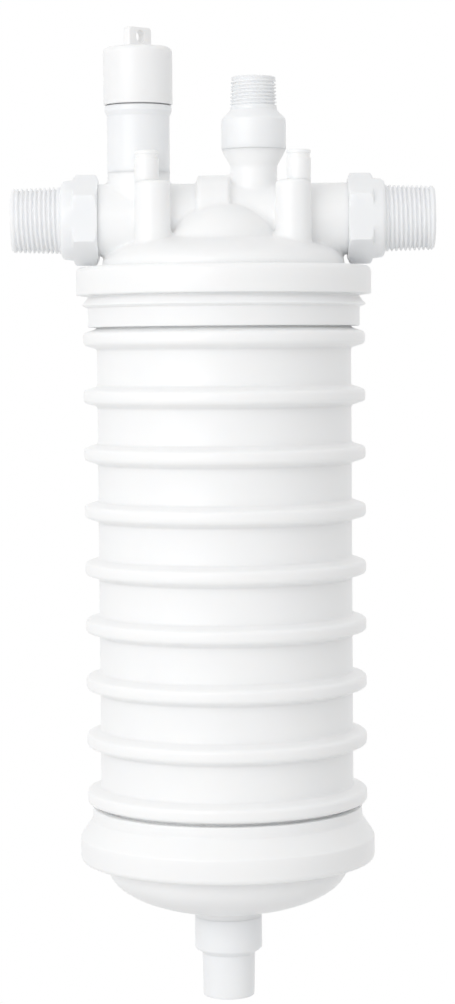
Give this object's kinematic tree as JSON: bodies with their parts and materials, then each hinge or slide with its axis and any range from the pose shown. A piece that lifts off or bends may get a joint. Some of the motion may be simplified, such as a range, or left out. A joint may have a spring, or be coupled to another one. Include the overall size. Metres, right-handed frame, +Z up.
{
  "type": "capsule filter",
  "caption": "Ribbed translucent plastic in-line filter capsule with threaded side ports, vent, drain, blank pegs and a capped sample tube over a sealed pleated element.",
  "frame": {"origin": "centre of the drain port's lower end face", "axes": "+Z up along the shell's axis, +X towards the inlet port, -Y towards the side with the pegs"},
  "size_m": [0.169, 0.119, 0.3906],
  "materials": {
    "housing_plastic": "natural translucent polypropylene, moulded, satin",
    "fitting_plastic": "natural translucent polypropylene, moulded, satin",
    "cap_plastic": "white polypropylene, moulded, satin",
    "element_plastic": "white polypropylene, moulded",
    "fleece": "spun-bonded fleece",
    "membrane": "smooth filter layer",
    "seal": "translucent silicone"
  },
  "bodies": {
    "housing": {"shell": "housing_plastic", "head": "housing_plastic", "base": "housing_plastic", "inlet_fitting": "fitting_plastic", "outlet_fitting": "fitting_plastic", "vent_fitting": "fitting_plastic", "drain_fitting": "fitting_plastic", "sample_tube": "fitting_plastic", "element_bottom_cap": "element_plastic", "element_top_cap": "element_plastic", "outlet_adapter": "element_plastic", "lower_o_ring": "seal", "upper_o_ring": "seal", "outer_cage": "element_plastic", "upstream_support": "fleece", "membrane": "membrane", "downstream_support": "fleece", "inner_core": "element_plastic"},
    "gasket": {"cap_gasket": "seal"},
    "cap": {"port_cap": "cap_plastic"}
  },
  "joints": [
    {"name": "cap_lift", "type": "slide", "parent": "housing", "child": "gasket", "axis": [0, 0, 1], "range_m": [0, 0.0211]},
    {"name": "cap_turn", "type": "hinge", "parent": "gasket", "child": "cap", "pos_m": [-0.0336, 0, 0.37], "axis": [0, 0, 1], "range_deg": [0, 2520]}
  ],
  "couplings": [
    {"joint": "cap_lift", "follows": "cap_turn", "m_per_rad": 0.00047746}
  ]
}
